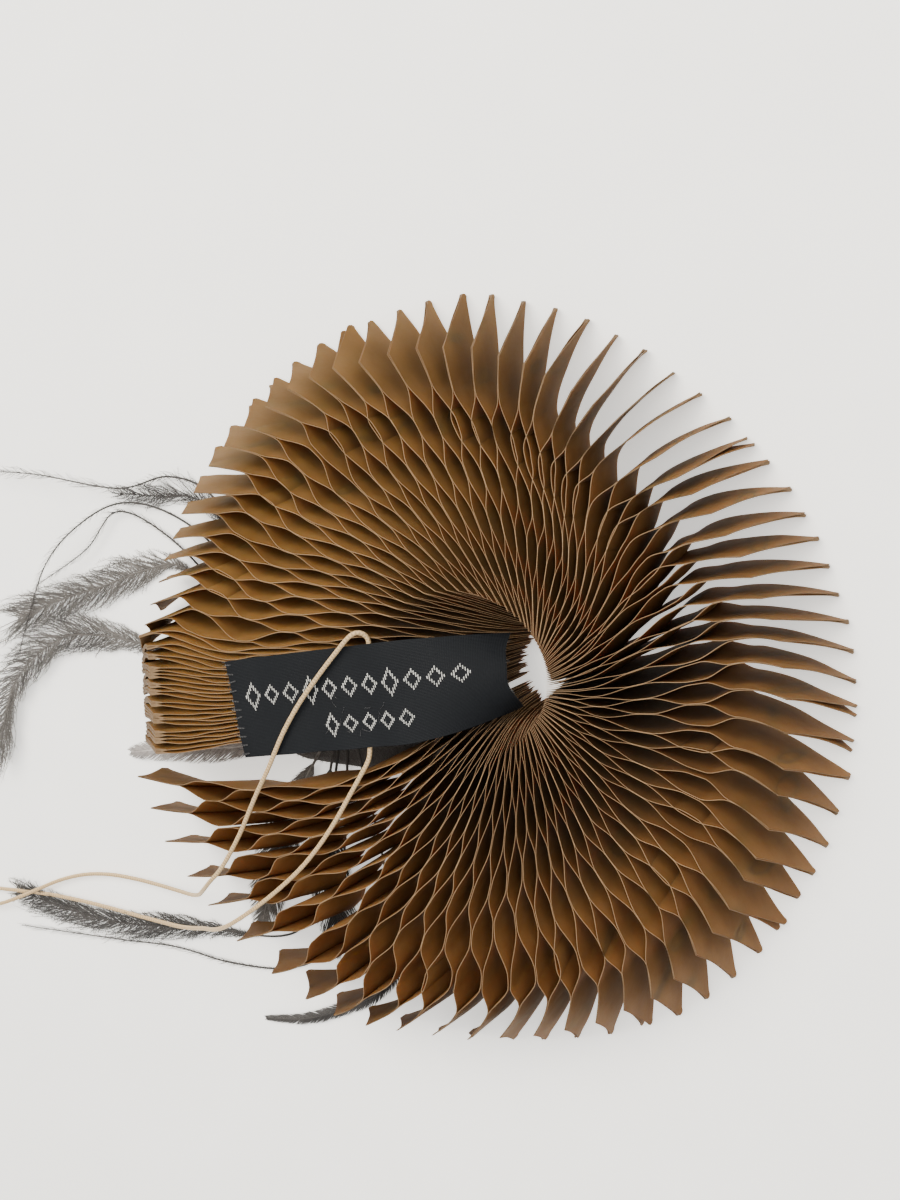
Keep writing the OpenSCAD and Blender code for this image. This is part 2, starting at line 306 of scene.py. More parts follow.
def woven_satin():
    k = Look("label_satin", Specular_IOR_Level=0.12, Sheen_Weight=0.01, Sheen_Roughness=0.4,
             Sheen_Tint=(0.55, 0.62, 0.75, 1))
    uv = k.along()
    warp = k.wave(uv, 0.85, 0.25, "Y", 1.0, 2.0)
    weft = k.wave(uv, 0.62, 0.2, "X", 1.0)
    lint = k.noise(900, 3, 0.7)
    weave = k.math("ADD", warp, k.math("MULTIPLY", weft, 0.55))
    base = k.ramp(weave, (0.1, (0.0018, 0.0022, 0.003)), (0.9, (0.0065, 0.0076, 0.0098)))
    base = k.mix(k.math("MULTIPLY", lint, 0.04), base, (0.05, 0.058, 0.066))
    return k.finish(base, span(k, weft, 0.55, 0.75), weave, 0.5, 0.0001)


def thread(name, dark, light, sheen=0.3):
    k = Look(name, Specular_IOR_Level=0.4, Sheen_Weight=sheen, Sheen_Roughness=0.4)
    twist = k.wave(k.along(), 0.9, 1.0, "DIAGONAL")
    fuzz = k.noise(2500, 3, 0.7)
    base = k.ramp(k.blend(twist, fuzz, 0.6), (0.25, dark), (0.8, light))
    return k.finish(k.shaded(base), span(k, fuzz, 0.5, 0.75), twist, 0.5, 0.00008)


def braided_elastic():
    k = Look("elastic_braid", Specular_IOR_Level=0.45, Sheen_Weight=0.35, Sheen_Roughness=0.4,
             Sheen_Tint=(1.0, 0.86, 0.62, 1))
    place = k.turned(k.along(), Scale=(1.0, 2.0, 1))
    # Two sets of diagonal ribs that cross
    waves = [k.wave(k.turned(place, Rotation=(0, 0, turn)), 0.45, 0.15) for turn in (0.7, -0.7)]
    braid = k.math("MAXIMUM", *waves)
    fuzz = k.noise(2200, 3, 0.7)
    base = k.ramp(braid, (0.35, (0.27, 0.17, 0.07)), (0.95, (0.55, 0.38, 0.20)))
    base = k.mix(k.math("MULTIPLY", fuzz, 0.3), base, (0.64, 0.49, 0.30))
    return k.finish(base, span(k, fuzz, 0.45, 0.7), braid, 0.5, 0.0001)


def felt():
    k = Look("dark_felt", Specular_IOR_Level=0.2, Sheen_Weight=0.5, Sheen_Roughness=0.6)
    wool = k.noise(1400, 5, 0.75)
    cloud = k.noise(160, 3)
    base = k.ramp(wool, (0.25, (0.012, 0.010, 0.010)), (0.75, (0.045, 0.040, 0.038)))
    base = k.mix(k.math("MULTIPLY", cloud, 0.3), base, (0.055, 0.05, 0.048))
    return k.finish(base, span(k, cloud, 0.85, 0.98), wool, 0.8, 0.0004)


def feather_look(name, dark, light):
    k = Look(name, Specular_IOR_Level=0.35, Sheen_Weight=0.3, Sheen_Roughness=0.35)
    streak = k.noise(700, 4, 0.6)
    cloud = k.noise(60, 2)
    base = k.ramp(k.blend(streak, cloud, 0.5), (0.32, dark), (0.68, light))
    return k.finish(k.shaded(base), span(k, streak, 0.5, 0.75), streak, 0.3, 0.00008)


PAPER, PAPER_EDGE = kraft_paper(), cut_edge()
SATIN, ELASTIC, FELT = woven_satin(), braided_elastic(), felt()
BLACK_THREAD = thread("black_thread", (0.006, 0.006, 0.007), (0.03, 0.03, 0.034))
MOTIF_THREAD = thread("motif_thread", (0.30, 0.30, 0.29), (0.60, 0.60, 0.58), 0.4)
CHARCOAL = feather_look("charcoal_feather", (0.012, 0.011, 0.011), (0.055, 0.050, 0.048))
GREY = feather_look("grey_feather", (0.038, 0.034, 0.032), (0.15, 0.138, 0.128))
PALE = feather_look("pale_feather", (0.16, 0.145, 0.14), (0.42, 0.39, 0.375))

# ---------------------------------------------------------------- elastic
ELASTIC_D = 1.2
ELASTIC_ROUTE = [
    [-20, 3, 28.3], [-20, 6, 28.3], [-20, 9.5, 28.3], [-20.3, 12.6, 28.4], [-21.8, 14.2, 29.8],
    [-24, 13.2, 31], [-28, 8.6, 31.1], [-33, 2.4, 31.1], [-38.8, -5.4, 31.1], [-44, -14, 31.1],
    [-49, -24, 30.6], [-54, -33, 29.8], [-60, -45, 29.2], [-66, -55, 29.1], [-71, -60.5, 28.2],
    [-77, -66, 23.6], [-84, -71, 16], [-91, -74.5, 10], [-99, -76.3, 5.8], [-108, -77, 3.4],
    [-118, -77.2, 2.3], [-128, -77.6, 2.2], [-138, -79.4, 2.2], [-148, -83, 2.2], [-158, -88, 2.8],
    [-166, -92, 4], [-175, -96, 2.8], [-183, -98, 2.2], [-188, -96, 2.2], [-187, -92.5, 2.2],
    [-181, -91, 2.2], [-174, -90.5, 2.2], [-163, -89.5, 2.2], [-152, -88.6, 2.2],
    [-141, -88.4, 2.2], [-130, -88.6, 2.2], [-119, -89, 2.3], [-109, -89, 3], [-100, -88, 5.2],
    [-92, -85.6, 8.8], [-84.6, -82.4, 13.4], [-77, -78.8, 19.6], [-70, -75, 24.8], [-63, -70.4, 28.5],
    [-56, -65, 28.8], [-48.5, -58.5, 28.8], [-41, -51, 28.8], [-35, -43.5, 28.8], [-30, -36, 28.8],
    [-26, -29, 28.7], [-22.4, -22.6, 28.5], [-20.4, -18.6, 28.3], [-20, -15, 28.3],
    [-20, -11, 28.3], [-20, -7, 28.3],
]
elastic_line, _ = even_line(smooth_line(ELASTIC_ROUTE, 6), 0.7)

# Each end is wound round itself under the label
KNOT_X, _, KNOT_Z = ELASTIC_ROUTE[0]
KNOT_LENGTH = 2.5
KNOT_TURNS, KNOT_COIL_R, KNOT_COIL_LENGTH, KNOT_CORD_R = 4, 0.5, 1.8, 0.36
KNOT_CORE = [0.3, 0.5, 0.55, 0.55, 0.5, 0.3]
KNOT_CORE_STEP = 0.46
knots = Shape()
for knot_y in (ELASTIC_ROUTE[0][1] - KNOT_LENGTH, ELASTIC_ROUTE[-1][1]):
    turn = np.linspace(0, KNOT_TURNS * 2 * math.pi, 60)
    coil = np.stack([
        KNOT_X + KNOT_COIL_R * np.cos(turn),
        knot_y + (KNOT_LENGTH - KNOT_COIL_LENGTH) / 2 + KNOT_COIL_LENGTH * turn / turn[-1],
        KNOT_Z + KNOT_COIL_R * np.sin(turn),
    ], 1)
    knots.tube(coil, KNOT_CORD_R, 8)
    core = [[KNOT_X, knot_y + 0.1 + k * KNOT_CORE_STEP, KNOT_Z] for k in range(len(KNOT_CORE))]
    knots.tube(core, KNOT_CORE, 8)
knots = knots.build("elastic_end_knots", [ELASTIC], "elastic", "elastic_braid", ["elastic_knots"])

elastic = Shape()
# The braid makes its thickness vary a little along it
BRAID_SWELL, BRAID_BEAT = 0.03, 1.3
braid_beat = np.sin(np.arange(len(elastic_line)) * BRAID_BEAT)
elastic.tube(elastic_line, ELASTIC_D / 2 * (1 + BRAID_SWELL * braid_beat), 12)
elastic = elastic.build("elastic_cord", [ELASTIC], "elastic", "elastic_braid", ["elastic_loop"])

# ---------------------------------------------------------------- paper fan
# Paper thickness beside the hole, where the leaves crowd, and outside, and where it changes,
# from the root
ROOT_T, OUTER_T = 0.08, 0.16
THICKEN_FROM, THICKEN_OVER = 16, 34
LEAF_DEPTH = 24
BACK_CORNER_DROP = 0.5
FLAP_LENGTH = 23
GLUE_PITCH = 12.5
GLUE_WIDTH = 4
INNER_PITCH = 7
FEATHER_LIFT = 3.4
LEAF_COUNT = 160
PACK_LEAVES = 26
PACK_TIP_X, PACK_BOTTOM_Y, PACK_PITCH = -109, -31.9, 1.22
# Flap number in the fan against the direction of its tip, and against its distance
FAN_ANGLES = [
    [0, 179], [5, 155], [11, 123], [19, 83], [27, 43], [37, 3],
    [45, -36], [52, -75], [58, -111], [67, -163],
]
FAN_TIP_RADII = [
    [0, 100.5], [2, 96], [8, 95], [14, 96.5], [18, 98.3], [25, 95.5], [30, 97.5],
    [36, 99], [43, 98.3], [48, 100.3], [53, 98], [56, 100], [58, 103.5], [60, 105],
]
# Leaf number against the share of FEATHER_LIFT that raises it, and how far it bows sideways
LIFT_SHARE = [[0, 1], [42, 1], [60, 0], [126, 0], [140, 1], [159, 1]]
LEAF_BOW = [[0, 0], [20, -2], [32, -5], [60, -1], [110, 0], [130, 3], [144, 9], [159, 13]]
TIP_MIDDLE = np.array([-5, -2])
# The hole's rims: near is the label side, where the CAD's rim reaches 2.7 mm further to the right
NEAR_RIM, NEAR_CENTRE = np.array([22, 20]), np.array([3.8, 5])
FAR_RIM, FAR_CENTRE = np.array([7.1, 10.5]), np.array([18.4, 5.5])
FIRST_ROOT_ANGLE, ROOT_STEP, ROOT_CLEAR = 203, 2.2, 12
# The first cell's share of the pitch, the glue's width near the hole, where the last glue may
# be, from the root, and how sharp the folds are, from 0 for a wave to 1 for a zigzag
FIRST_CELL, INNER_GLUE_WIDTH, LAST_GLUE, CREASE = 0.72, 1.6, 5, 0.35
GLUE_T = 0.012
# Extra half thickness of the crushed knob at a tip, and its length
KNOB, KNOB_LENGTH = 0.22, 0.6
# The stack's cut ends: extra half thickness, its reach, and the leaf where it starts to fade
STACK_END, STACK_REACH, STACK_FADE_LEAF, STACK_EDGE, STACK_FADE = 0.38, 4, 21, 3, 5
# A leaf's inner end: its slant's curve, its bulge and how much its corner varies
INNER_SLANT, INNER_BULGE, INNER_CORNER = 1.3, 0.5, 1.3
# Its outer end: how hollow the slant is, and how much the length varies
END_HOLLOW, LENGTH_SPREAD = 0.3, 0.35
# Leaf number against how far the front corner of its slanted end lies behind its tip
FRONT_DROP = [
    [0, 21], [22, 20], [28, 14], [50, 13], [60, 14], [66, 13],
    [96, 11], [106, 12], [118, 14], [134, 13], [146, 12], [154, 10],
]
# How far a flap's two plies part at the tip, how much that varies, the extra where it forks, the
# chance above which it does, and the stretch that is free
PLY_GAP, PLY_SPREAD, FORK, FORK_ABOVE, PLY_REACH, PLY_CURVE = 0.10, 0.12, 0.9, 0.6, 11, 1.6
# Leaf number against how far the crest of its flap stands out anticlockwise, how far behind the
# tip it is, and the length further in over which it comes back
FLAP_BEND = [
    [0, 0], [20, -4], [27, -8], [33, -6], [40, -5], [46, -5], [52, -3], [60, 1], [68, 6], [76, 11],
    [82, 12], [86, 10], [92, 8.5], [100, 7], [114, 5], [124, 5], [134, 7], [144, 7], [150, 3], [159, 2],
]
CREST = [[0, 22], [50, 22], [66, 20], [92, 24], [130, 20], [159, 20]]
CREST_RISE = [[0, 24], [50, 24], [64, 28], [76, 34], [94, 42], [112, 34], [159, 30]]
BEND_SPREAD, CREST_SPREAD, CREST_ROUND = 0.8, 1.5, 1.6
# How far a flap's corners curl, over what length, and the faint ripples along a leaf
CURL, CURL_REACH, CURL_CURVE = 1.1, 16, 1.5
RIPPLE, RIPPLE_BEAT, RIPPLE_PHASE = 0.14, 0.5, 6
# How far a leaf's front edge leans over from its back edge, in plan, where that starts, from the
# root, and which leaves lean
LEAN = np.array([3.3, -2.0])
LEAN_FROM, LEAN_OVER = 12, 45
LEANING = [[0, 1], [70, 1], [84, 0.3], [120, 0.3], [130, 1], [140, 0]]
# Leaf number against how far the front of its flap leans clockwise instead, and where that
# starts, from the tip. It is complete at LEAN_FULL
END_LEAN = [
    [0, 1], [20, 0], [27, -2], [36, -3], [48, -2], [56, 0], [62, 4], [72, 5], [84, 4],
    [90, 1], [96, -3], [106, -1], [118, 0], [128, 0], [134, 2], [139, 3], [143, 1], [147, 2.5],
    [151, 7], [159, 8],
]
LEAN_REACH = [[0, 34], [144, 34], [152, 90]]
LEAN_FULL = 10
# Leaf number against how far it bulges clockwise in mid depth beside the hole, and where that
# fades, from the root
DEPTH_BOW = [[0, -1.5], [30, -1.5], [46, 1.5], [159, 1.5]]
BOW_FROM, BOW_FADE = 22, 30
# Leaf number against how far its cells open, from 0 for flat to 1
OPENING = [[0, 0.3], [18, 0.4], [27, 1]]
# Painted shade on the leaves' sides and painted light on their cut edges beside the hole, as tones
# against 1 outside, and where they change, from the root
INNER_WALL_PAINTED_SHADE, INNER_EDGE_PAINTED_LIGHT = 0.2, 1.35
TONE_FROM, TONE_OVER = 14, 42
# How much painted shade darkens the paper towards the tips, and where that starts, from the tip
TIP_SHADE, SHADE_FROM, SHADE_OVER = 0.34, 34, 24
LEAF_TONE_SPREAD, FLAP_TONE_SPREAD = 0.07, 0.04
# A leaf's grid: columns as shares of its length, rows as shares of its depth. Its blunt tip is
# between BLUNT_LOW and BLUNT_HIGH
COLUMNS = np.concatenate([np.linspace(0, 0.984, 58), [0.991, 0.996, 1.0]])
BLUNT_LOW, BLUNT_HIGH = 0.03, 0.09
ROWS = np.array([0, BLUNT_LOW, BLUNT_HIGH, 0.18, 0.3, 0.42, 0.54, 0.66, 0.78, 0.89, 1])

rng = random.Random(7)
line_jitter = [[rng.uniform(-0.9, 0.9) for _ in range(8)] for _ in range(LEAF_COUNT + 1)]
FLAP_CHANCES = ("fork", "bend", "crest", "length", "curl", "tone")
LEAF_CHANCES = ("tone", "bulge", "ripple", "corner")
flap_chance = [{c: rng.uniform(-1, 1) for c in FLAP_CHANCES} for _ in range(LEAF_COUNT // 2)]
leaf_chance = [{c: rng.uniform(-1, 1) for c in LEAF_CHANCES} for _ in range(LEAF_COUNT)]


def tip_point(i):
    if i < PACK_LEAVES:
        return np.array([PACK_TIP_X, PACK_BOTTOM_Y + i * PACK_PITCH])
    flap = (i - PACK_LEAVES) / 2
    a = math.radians(table(flap, FAN_ANGLES))
    return TIP_MIDDLE + table(flap, FAN_TIP_RADII) * np.array([math.cos(a), math.sin(a)])


def root_point(i):
    a = math.radians(FIRST_ROOT_ANGLE - i * ROOT_STEP)
    return FAR_CENTRE + FAR_RIM * np.array([math.cos(a), math.sin(a)])


def leaf_facts(i):
    """Tip, length, outward direction and bow of a leaf."""
    tip, root = tip_point(i), root_point(i)
    return tip, np.linalg.norm(tip - root), unit(tip - root), table(i, LEAF_BOW)


def on_leaf(i, back):
    tip, length, aim, bow = leaf_facts(i)
    side = bow * np.sin(np.pi * back / length)
    return tip - aim * back[..., None] + left_of(aim) * side[..., None]


def half_thickness(back, length):
    outside = smoothstep((length - back - THICKEN_FROM) / THICKEN_OVER)
    return ROOT_T / 2 + (OUTER_T - ROOT_T) / 2 * outside


def swollen(i, back, from_end):
    """Extra half thickness: the crushed knob at a tip, and the thick cut ends of the stack."""
    knob = KNOB * np.exp(-((back / KNOB_LENGTH) ** 2))
    in_stack = 1 - smoothstep((i - STACK_FADE_LEAF) / STACK_FADE)
    return knob + STACK_END * smoothstep((STACK_REACH - from_end) / STACK_EDGE) * in_stack


def glued_line(i, j, back):
    """Where leaf i lies when it is glued to its neighbour j."""
    a = on_leaf(i, back)
    if j < 0 or j >= LEAF_COUNT:
        return a
    _, length, aim, _ = leaf_facts(i)
    b = on_leaf(j, back)
    side = left_of(unit(aim + leaf_facts(j)[2]))
    gap = half_thickness(back, length) + GLUE_T
    return (a + b) / 2 + side * ((j - i) * gap)[..., None]


def weave(i, back, length):
    """+1 where leaf i is glued to the next leaf, -1 where it is glued to the one before."""

    def sign(k):
        return 1 if (i + k) % 2 == 0 else -1

    def shift(k):
        pair = i if sign(k) > 0 else i - 1
        return line_jitter[pair][k] if 0 <= pair else 0

    stops = [(FLAP_LENGTH + shift(0), sign(0))]
    for k in range(1, int((length - FLAP_LENGTH - ROOT_CLEAR) // GLUE_PITCH) + 1):
        at = FLAP_LENGTH + (k - 1 + FIRST_CELL) * GLUE_PITCH + shift(k)
        stops += [(at - GLUE_WIDTH / 2, sign(k)), (at + GLUE_WIDTH / 2, sign(k))]
    # Between the last glue line and the hole the cells get shorter
    k, at = len(stops) // 2 + 1, stops[-1][0] + FIRST_CELL * GLUE_PITCH
    while at < length - LAST_GLUE:
        stops += [(at - INNER_GLUE_WIDTH / 2, sign(k)), (at + INNER_GLUE_WIDTH / 2, sign(k))]
        k, at = k + 1, at + INNER_PITCH
    stops.append((length, 0))
    w = np.full(back.shape, float(stops[0][1]))
    for (b0, s0), (b1, s1) in zip(stops, stops[1:]):
        t = np.clip((back - b0) / (b1 - b0), 0, 1)
        w += (s1 - s0) * (CREASE * t + (1 - CREASE) * smoothstep(t))
    return w


def inner_start(i):
    """Distance from the root at which leaf i crosses the near rim."""
    p = (root_point(i) - NEAR_CENTRE) / NEAR_RIM
    d = leaf_facts(i)[2] / NEAR_RIM
    a, b, c = d @ d, 2 * p @ d, p @ p - 1
    return (-b + math.sqrt(b * b - 4 * a * c)) / (2 * a)


def parting(i, back):
    """How far leaf i stands off its partner past their glue. A few flaps fork at the tip."""
    chance = flap_chance[i // 2]["fork"]
    gap = PLY_GAP + PLY_SPREAD * abs(chance) + (FORK if chance > FORK_ABOVE else 0)
    free = np.clip((PLY_REACH - back) / PLY_REACH, 0, 1)
    return gap * free**PLY_CURVE * (1 if i % 2 == 0 else -1)


def flap_bend(i, pair, back):
    """How far leaf i's flap stands out anticlockwise: nothing at the tip, most at its crest."""
    chance = flap_chance[i // 2]
    crest = table(pair, CREST) + CREST_SPREAD * chance["crest"]
    rise = table(pair, CREST_RISE)
    from_tip = 1 - (1 - np.clip(back / crest, 0, 1)) ** CREST_ROUND
    hump = from_tip * smoothstep((crest + rise - back) / rise)
    return (table(pair, FLAP_BEND) + BEND_SPREAD * chance["bend"]) * hump


def crumple(i, along, back, v, outward):
    """The curl of a flap's corners, and the faint ripples further in."""
    own = leaf_chance[i]
    corner = np.clip((CURL_REACH - back) / CURL_REACH, 0, 1) ** CURL_CURVE
    curl = CURL * flap_chance[i // 2]["curl"] * (2 * v - 1) * corner
    wave = np.sin(along * RIPPLE_BEAT + RIPPLE_PHASE * own["ripple"])
    return curl + RIPPLE * wave * np.sin(np.pi * v + own["corner"]) * outward


def leaf_ends(i, pair, length, v):
    """Distances from the root of leaf i's inner and outer ends, at each share v of its depth."""
    own = leaf_chance[i]
    bulge = INNER_BULGE * np.sin(np.pi * v) * own["bulge"]
    inner = inner_start(i) * v**INNER_SLANT + bulge + INNER_CORNER * (1 - v) ** 2 * own["corner"]
    below = np.clip((BLUNT_LOW - v) / BLUNT_LOW, 0, 1)
    above = np.clip((v - BLUNT_HIGH) / (1 - BLUNT_HIGH), 0, 1)
    slant = table(pair, FRONT_DROP) * above + END_HOLLOW * np.sin(np.pi * above)
    spread = LENGTH_SPREAD * flap_chance[i // 2]["length"]
    return inner, length - BACK_CORNER_DROP * below - slant + spread


def leaf_surface(i):
    """Plan points and heights of leaf i on a grid, columns outwards and rows upwards."""
    _, length, aim, _ = leaf_facts(i)
    v = ROWS[None, :]
    # Both leaves of a flap read the tables at the same place, so that they stay together
    pair = i - i % 2 + 0.5
    inner, outer = leaf_ends(i, pair, length, v)
    along = inner + COLUMNS[:, None] * (outer - inner)
    back = length - along
    near, far = glued_line(i, i - 1, back), glued_line(i, i + 1, back)
    w = weave(i, back, length) * table(i, OPENING)
    plan = near + (far - near) * ((1 + w) / 2)[..., None]
    outward = smoothstep((along - LEAN_FROM) / LEAN_OVER)
    reach = table(pair, LEAN_REACH)
    flap_end = smoothstep((reach - back) / (reach - LEAN_FULL))
    beside_hole = 1 - smoothstep((along - BOW_FROM) / BOW_FADE)
    turned = (
        parting(i, back)
        + flap_bend(i, pair, back)
        - table(i, DEPTH_BOW) * np.sin(np.pi * v) * beside_hole
        + crumple(i, along, back, v, outward)
        - table(pair, END_LEAN) * flap_end * v
    )
    leaning = (v - 0.5) * outward * (1 - flap_end) * table(i, LEANING)
    plan = plan + left_of(aim) * turned[..., None] + LEAN * leaning[..., None]
    height = np.broadcast_to(LEAF_DEPTH * v + FEATHER_LIFT * table(i, LIFT_SHARE), back.shape)
    return plan, height, along, outer - along, length


WALL, EDGE = 0, 1


def add_leaf(shape, i):
    plan, height, along, from_end, length = leaf_surface(i)
    back = length - along
    heading = np.gradient(plan, axis=0)
    heading /= np.linalg.norm(heading, axis=2, keepdims=True)
    half = half_thickness(back, length) + swollen(i, back, from_end)
    side = np.stack([-heading[..., 1], heading[..., 0]], 2) * half[..., None]
    left = np.concatenate([plan + side, height[..., None]], 2)
    right = np.concatenate([plan - side, height[..., None]], 2)
    own_tone = LEAF_TONE_SPREAD * leaf_chance[i]["tone"]
    tone = 1 + own_tone + FLAP_TONE_SPREAD * flap_chance[i // 2]["tone"]
    # Painted shade: the paper is darker towards the tip
    tone = tone * (1 - TIP_SHADE * smoothstep((SHADE_FROM - back) / SHADE_OVER))
    outside = smoothstep((along - TONE_FROM) / TONE_OVER)

    def sheet(corners, turned_over, mat, shades):
        """A surface over a grid of corner points."""
        rows, cols = corners.shape[:2]
        a = np.arange(rows * cols).reshape(rows, cols)
        quads = np.stack([a[:-1, :-1], a[:-1, 1:], a[1:, 1:], a[1:, :-1]], 2).reshape(-1, 4)
        quads = quads[:, ::-1] if turned_over else quads
        shape.add(corners.reshape(-1, 3), quads.tolist(), mat, shades.ravel())

    # Painted shade darkens the sides, and painted light brightens the cut edges, beside the hole, over
    # each leaf's random tone
    wall_tone_and_shade = tone * (INNER_WALL_PAINTED_SHADE + (1 - INNER_WALL_PAINTED_SHADE) * outside)
    edge_tone_and_light = tone * (INNER_EDGE_PAINTED_LIGHT + (1 - INNER_EDGE_PAINTED_LIGHT) * outside)
    sheet(left, False, WALL, wall_tone_and_shade)
    sheet(right, True, WALL, wall_tone_and_shade)
    for row, turned_over in ((-1, False), (0, True)):
        edge = np.stack([left[:, row], right[:, row]], 1)
        sheet(edge, turned_over, EDGE, np.stack([edge_tone_and_light[:, row]] * 2, 1))
    for column, turned_over in ((-1, True), (0, False)):
        edge = np.stack([left[column], right[column]], 0)
        sheet(edge, turned_over, EDGE, np.stack([edge_tone_and_light[column]] * 2, 0))


LEAF_NODES = [n for n in sorted(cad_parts) if n.startswith("fan_leaves_")]
PER_NODE = LEAF_COUNT // len(LEAF_NODES)
for n, node in enumerate(LEAF_NODES):
    sector = Shape()
    for i in range(n * PER_NODE, (n + 1) * PER_NODE):
        add_leaf(sector, i)
    sector.build(f"paper_leaves_{n + 1:02d}", [PAPER, PAPER_EDGE], "fan", "kraft_paper", [node])

# ---------------------------------------------------------------- woven label
LABEL_LENGTH, LABEL_WIDTH, LABEL_T = 75, 26, 0.45
LABEL_TURN = math.radians(11.7)
LABEL_LEFT = np.array([-59.5, -10])
LABEL_Z, LABEL_FLAT, LABEL_END_DROP = 29.35, 46, 9
# How much its inner end narrows, and how far its edges drop there
LABEL_TAPER, LABEL_EDGE_DROP = 0.28, 6.5
# Heights of its faint waves: along it, across it and at its long edges
WAVE_ALONG, WAVE_ACROSS, WAVE_EDGE = 0.16, 0.10, 0.25
label_dir = np.array([math.cos(LABEL_TURN), math.sin(LABEL_TURN)])
label_side = left_of(label_dir)


def label_point(u, w, lift=0.0):
    """A point on the label's underside, u from its outer end and w across, raised by lift."""
    q = np.clip((u - LABEL_FLAT) / (LABEL_LENGTH - LABEL_FLAT), 0, 1)
    edge = w / (LABEL_WIDTH / 2)
    across = w * (1 - LABEL_TAPER * q**2)
    z = LABEL_Z - LABEL_END_DROP * q**2 - LABEL_EDGE_DROP * q**2 * edge**2
    z = z + WAVE_ALONG * np.sin(u * 0.42 + 0.8) * (1 - q) + WAVE_ACROSS * np.sin(u * 0.23 - w * 0.3)
    z = z + WAVE_EDGE * edge**4 * np.sin(u * 0.31 + 2 * np.sign(w)) * (1 - q)
    # The cut inner end isn't quite straight
    run = u + 0.25 * np.sin(w * 0.5) * (q > 0.9)
    plan = LABEL_LEFT + np.multiply.outer(run, label_dir) + np.multiply.outer(across, label_side)
    return np.concatenate([plan, np.expand_dims(z + lift, -1)], -1)


label = Shape()
across_count, along_count = 20, 64
grid_u, grid_w = np.meshgrid(
    np.linspace(0, LABEL_LENGTH, along_count + 1),
    np.linspace(-LABEL_WIDTH / 2, LABEL_WIDTH / 2, across_count + 1),
    indexing="ij",
)
flat_u, flat_w = grid_u.ravel(), grid_w.ravel()


def label_grid(lift):
    return np.array([label_point(u, w, lift) for u, w in zip(flat_u, flat_w)])


low, high = label_grid(0), label_grid(LABEL_T)
g = np.arange((along_count + 1) * (across_count + 1)).reshape(along_count + 1, across_count + 1)
h = g + g.size
label_faces = []
for corners in (
    (h[:-1, :-1], h[1:, :-1], h[1:, 1:], h[:-1, 1:]),
    (g[:-1, :-1], g[:-1, 1:], g[1:, 1:], g[1:, :-1]),
    (g[:-1, 0], g[1:, 0], h[1:, 0], h[:-1, 0]),
    (h[:-1, -1], h[1:, -1], g[1:, -1], g[:-1, -1]),
    (h[0, :-1], h[0, 1:], g[0, 1:], g[0, :-1]),
    (g[-1, :-1], g[-1, 1:], h[-1, 1:], h[-1, :-1]),
):
    label_faces.extend(np.stack([c.ravel() for c in corners], 1).tolist())
label_uv = np.tile(np.stack([flat_u, flat_w], 1), (2, 1))
label.add(np.concatenate([low, high]), label_faces, 0, 1.0, label_uv)
label = label.build("woven_label_cloth", [SATIN], "fan", "label_satin", ["woven_label"])

# Two rows of lozenges in satin stitch, as a plain generic border: where each row starts along
# the label, where it is across it, its step, and its lozenges' half sizes
LOZENGE_ROWS = [
    {"count": 11, "start": 6.5, "across": 3.0, "step": 5.9, "half_u": 2.35, "half_w": 2.7,
     "tall_w": 3.7, "tall": (0, 3, 7)},
    {"count": 5, "start": 29, "across": -6.4, "step": 5.4, "half_u": 2.1, "half_w": 2.3,
     "tall_w": 3.2, "tall": (0,)},
]
STITCH_BARS, STITCH_BAND, SHORTEST_BAR = 9, 0.36, 0.15
STITCH_R, STITCH_ARCH = 0.15, 0.07
motif = Shape()
rng = random.Random(11)


def lozenge(middle_u, middle_w, half_u, half_w):
    """An open lozenge of satin-stitch bars laid across the label."""
    for side in (-1, 1):
        for k in range(STITCH_BARS):
            f = (k + 0.5) / STITCH_BARS * 2 - 1
            outer_w = half_w * (1 - abs(f))
            inner_w = max(outer_w - half_w * STITCH_BAND, 0)
            if outer_w < SHORTEST_BAR:
                continue
            u = middle_u + f * half_u + rng.uniform(-0.04, 0.04)
            inner_end = middle_w + side * inner_w
            outer_end = middle_w + side * (outer_w + rng.uniform(-0.08, 0.08))
            line = [
                label_point(u, inner_end + (outer_end - inner_end) * t, LABEL_T + STITCH_ARCH * arch)
                for t, arch in ((0, 0), (0.25, 1), (0.75, 1), (1, 0))
            ]
            motif.tube(line, STITCH_R, 5, 0.6, 0, rng.uniform(0.75, 1.1))


for row in LOZENGE_ROWS:
    for k in range(row["count"]):
        half_w = row["tall_w"] if k in row["tall"] else row["half_w"]
        lozenge(row["start"] + k * row["step"], row["across"], row["half_u"], half_w)
motif = motif.build("label_woven_motif", [MOTIF_THREAD], "fan", "label_satin")

# Stitches over the outer end, and the stray threads of its cut edge
STITCHES, STITCH_MARGIN, SEWING_R = 11, 1, 0.2
stitches, fray = Shape(), Shape()
leaf_top = FEATHER_LIFT + LEAF_DEPTH
stitch_top = LABEL_Z + LABEL_T + 0.2
for j in range(STITCHES):
    w = STITCH_MARGIN - LABEL_WIDTH / 2 + j * (LABEL_WIDTH - 2 * STITCH_MARGIN) / (STITCHES - 1)
    slant, reach = rng.uniform(-0.5, 0.5), rng.uniform(1.5, 2.2)
    # Distance in from the label's end, and height
    steps = [
        (-0.35, leaf_top + 0.1), (-0.45, stitch_top - 0.8), (-0.3, stitch_top - 0.1),
        (0.3, stitch_top + 0.12), (reach * 0.6, stitch_top + 0.1), (reach, stitch_top - 0.15),
    ]
    line = [
        [*(LABEL_LEFT + label_dir * u + label_side * (w + slant * max(u, 0) / reach)), z]
        for u, z in steps
    ]
    stitches.tube(smooth_line(line, 3), SEWING_R, 6, 1.0, 0, rng.uniform(0.8, 1.2))
OUTER_FRAY, INNER_FRAY, LINT = 34, 14, 22
